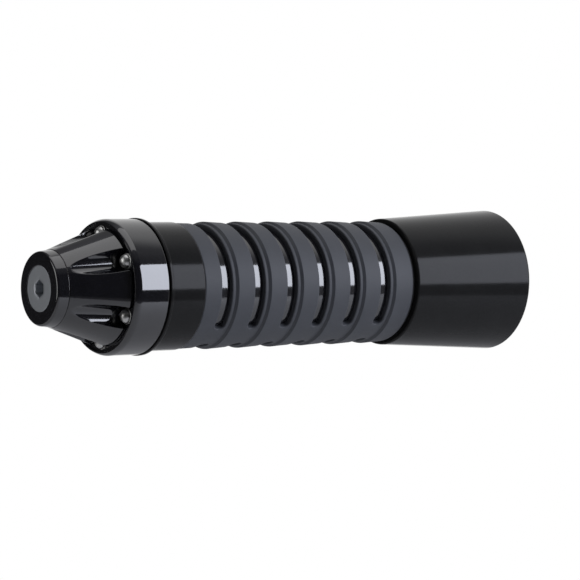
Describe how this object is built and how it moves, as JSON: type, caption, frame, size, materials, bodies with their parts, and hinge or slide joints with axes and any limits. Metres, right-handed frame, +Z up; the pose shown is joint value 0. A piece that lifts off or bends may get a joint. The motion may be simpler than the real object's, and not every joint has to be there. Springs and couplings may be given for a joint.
{
  "type": "handlebar twist grip with bar-end weight",
  "caption": "Turning handlebar grip with stepped rubber bands, arc windows over a metal core, metal end sleeves, and a fluted bar-end weight clamped in the bar by an expander.",
  "frame": {"origin": "centre of the handlebar's open end, on the handlebar's axis, where the plug's flange stands on the bar", "axes": "+X along the handlebar towards its controls, +Z up, -Y forward; the bar-end weight stands out to -X"},
  "size_m": [0.1496, 0.04, 0.04],
  "materials": {
    "gloss_black": "gloss black anodised",
    "core_black": "gloss black anodised",
    "sleeve_black": "satin-gloss black anodised",
    "grip_rubber": "matte moulded charcoal",
    "bolt_steel": "matte grey",
    "stud_steel": "satin",
    "plain_steel": "turned",
    "expander_rubber": "matte",
    "nylon": "matte"
  },
  "bodies": {
    "bar_end": {"centre_bolt": "bolt_steel", "nose_cap": "gloss_black", "fluted_cone": "gloss_black", "rim_studs": "stud_steel", "rim_collar": "gloss_black", "locating_dowels": "plain_steel", "inner_weight": "plain_steel", "bar_plug": "plain_steel", "front_washer": "plain_steel", "expander_sleeve": "expander_rubber", "rear_washer": "plain_steel", "clamp_nut": "plain_steel", "thrust_washer": "nylon"},
    "grip": {"throttle_liner": "nylon", "grip_core": "core_black", "outboard_sleeve": "sleeve_black", "rubber_grip": "grip_rubber", "spacer_ring": "expander_rubber", "inboard_sleeve": "sleeve_black", "grub_screws": "plain_steel"}
  },
  "joints": [
    {"name": "throttle_twist", "type": "hinge", "parent": "bar_end", "child": "grip", "pos_m": [0, 0, 0], "axis": [-1, 0, 0], "range_deg": [0, 75]}
  ]
}
